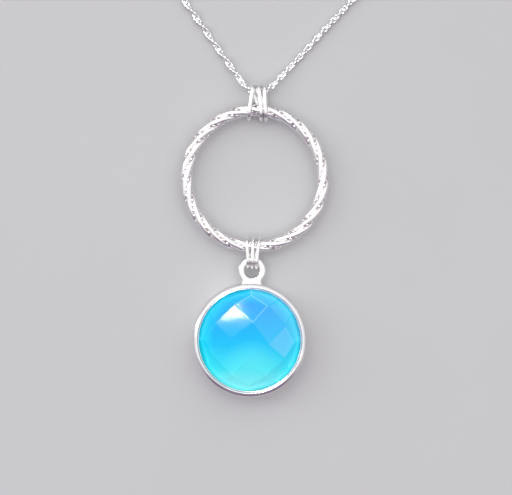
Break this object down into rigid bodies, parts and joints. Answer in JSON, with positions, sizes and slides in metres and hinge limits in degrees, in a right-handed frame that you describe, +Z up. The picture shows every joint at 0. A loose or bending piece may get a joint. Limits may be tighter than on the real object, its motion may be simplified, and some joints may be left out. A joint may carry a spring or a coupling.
{
  "type": "pendant necklace",
  "caption": "Pendant necklace: a faceted blue stone in a round bezel hangs from a twisted silver hoop, wire-wrapped to a fine chain that closes with a spring ring clasp.",
  "frame": {"origin": "on the surface the necklace lies on, under the middle of the pendant from the bezel's lower edge to the bail's upper end, leaving out the chain", "axes": "+Y along the pendant from the stone to the chain, +Z up out of the stone's face, +X to the right seen from above"},
  "size_m": [0.0381, 0.0787, 0.0056],
  "materials": {
    "silver": "polished sterling silver",
    "silver_wire": "polished drawn silver wire",
    "silver_chain": "bright fine silver links",
    "spring_steel": "plain steel wire",
    "chalcedony": "polished translucent blue stone"
  },
  "bodies": {
    "chain": {"chain_left": "silver_chain", "chain_right": "silver_chain", "chain_coil_left": "silver_chain", "chain_coil_right": "silver_chain", "chain_end_left": "silver_chain", "chain_end_right": "silver_chain", "jump_ring_left": "silver_wire", "jump_ring_right": "silver_wire", "clasp_tube": "silver", "clasp_eye": "silver", "clasp_spring": "spring_steel"},
    "bail": {"bail_coil": "silver_wire"},
    "hoop": {"twisted_hoop": "silver"},
    "hanger": {"hanger_coil": "silver_wire"},
    "drop": {"stone": "chalcedony", "bezel_wall": "silver", "back_plate": "silver", "drop_loop": "silver"},
    "bolt": {"clasp_bolt": "silver_wire", "clasp_lever": "silver"}
  },
  "joints": [
    {"name": "bail_swing", "type": "hinge", "parent": "chain", "child": "bail", "pos_m": [0, 0.0223, 0.00148], "axis": [-1, 0, 0], "range_deg": [0, 90]},
    {"name": "hoop_turn", "type": "hinge", "parent": "bail", "child": "hoop", "pos_m": [0, 0.00915, 0.00168], "axis": [0, 0, 1], "range_deg": [-75, 75]},
    {"name": "hanger_swing", "type": "hinge", "parent": "hoop", "child": "hanger", "pos_m": [0, -0.0011, 0.00168], "axis": [-1, 0, 0], "range_deg": [0, 90]},
    {"name": "drop_swing", "type": "hinge", "parent": "hanger", "child": "drop", "pos_m": [0, -0.00465, 0.0015], "axis": [0, 0, 1], "range_deg": [-40, 40]},
    {"name": "bolt_slide", "type": "hinge", "parent": "chain", "child": "bolt", "pos_m": [0.0025, 0.05275, 0.00092], "axis": [0, 0, 1], "range_deg": [0, 42], "stiffness_Nm_per_rad": 0.0002}
  ]
}
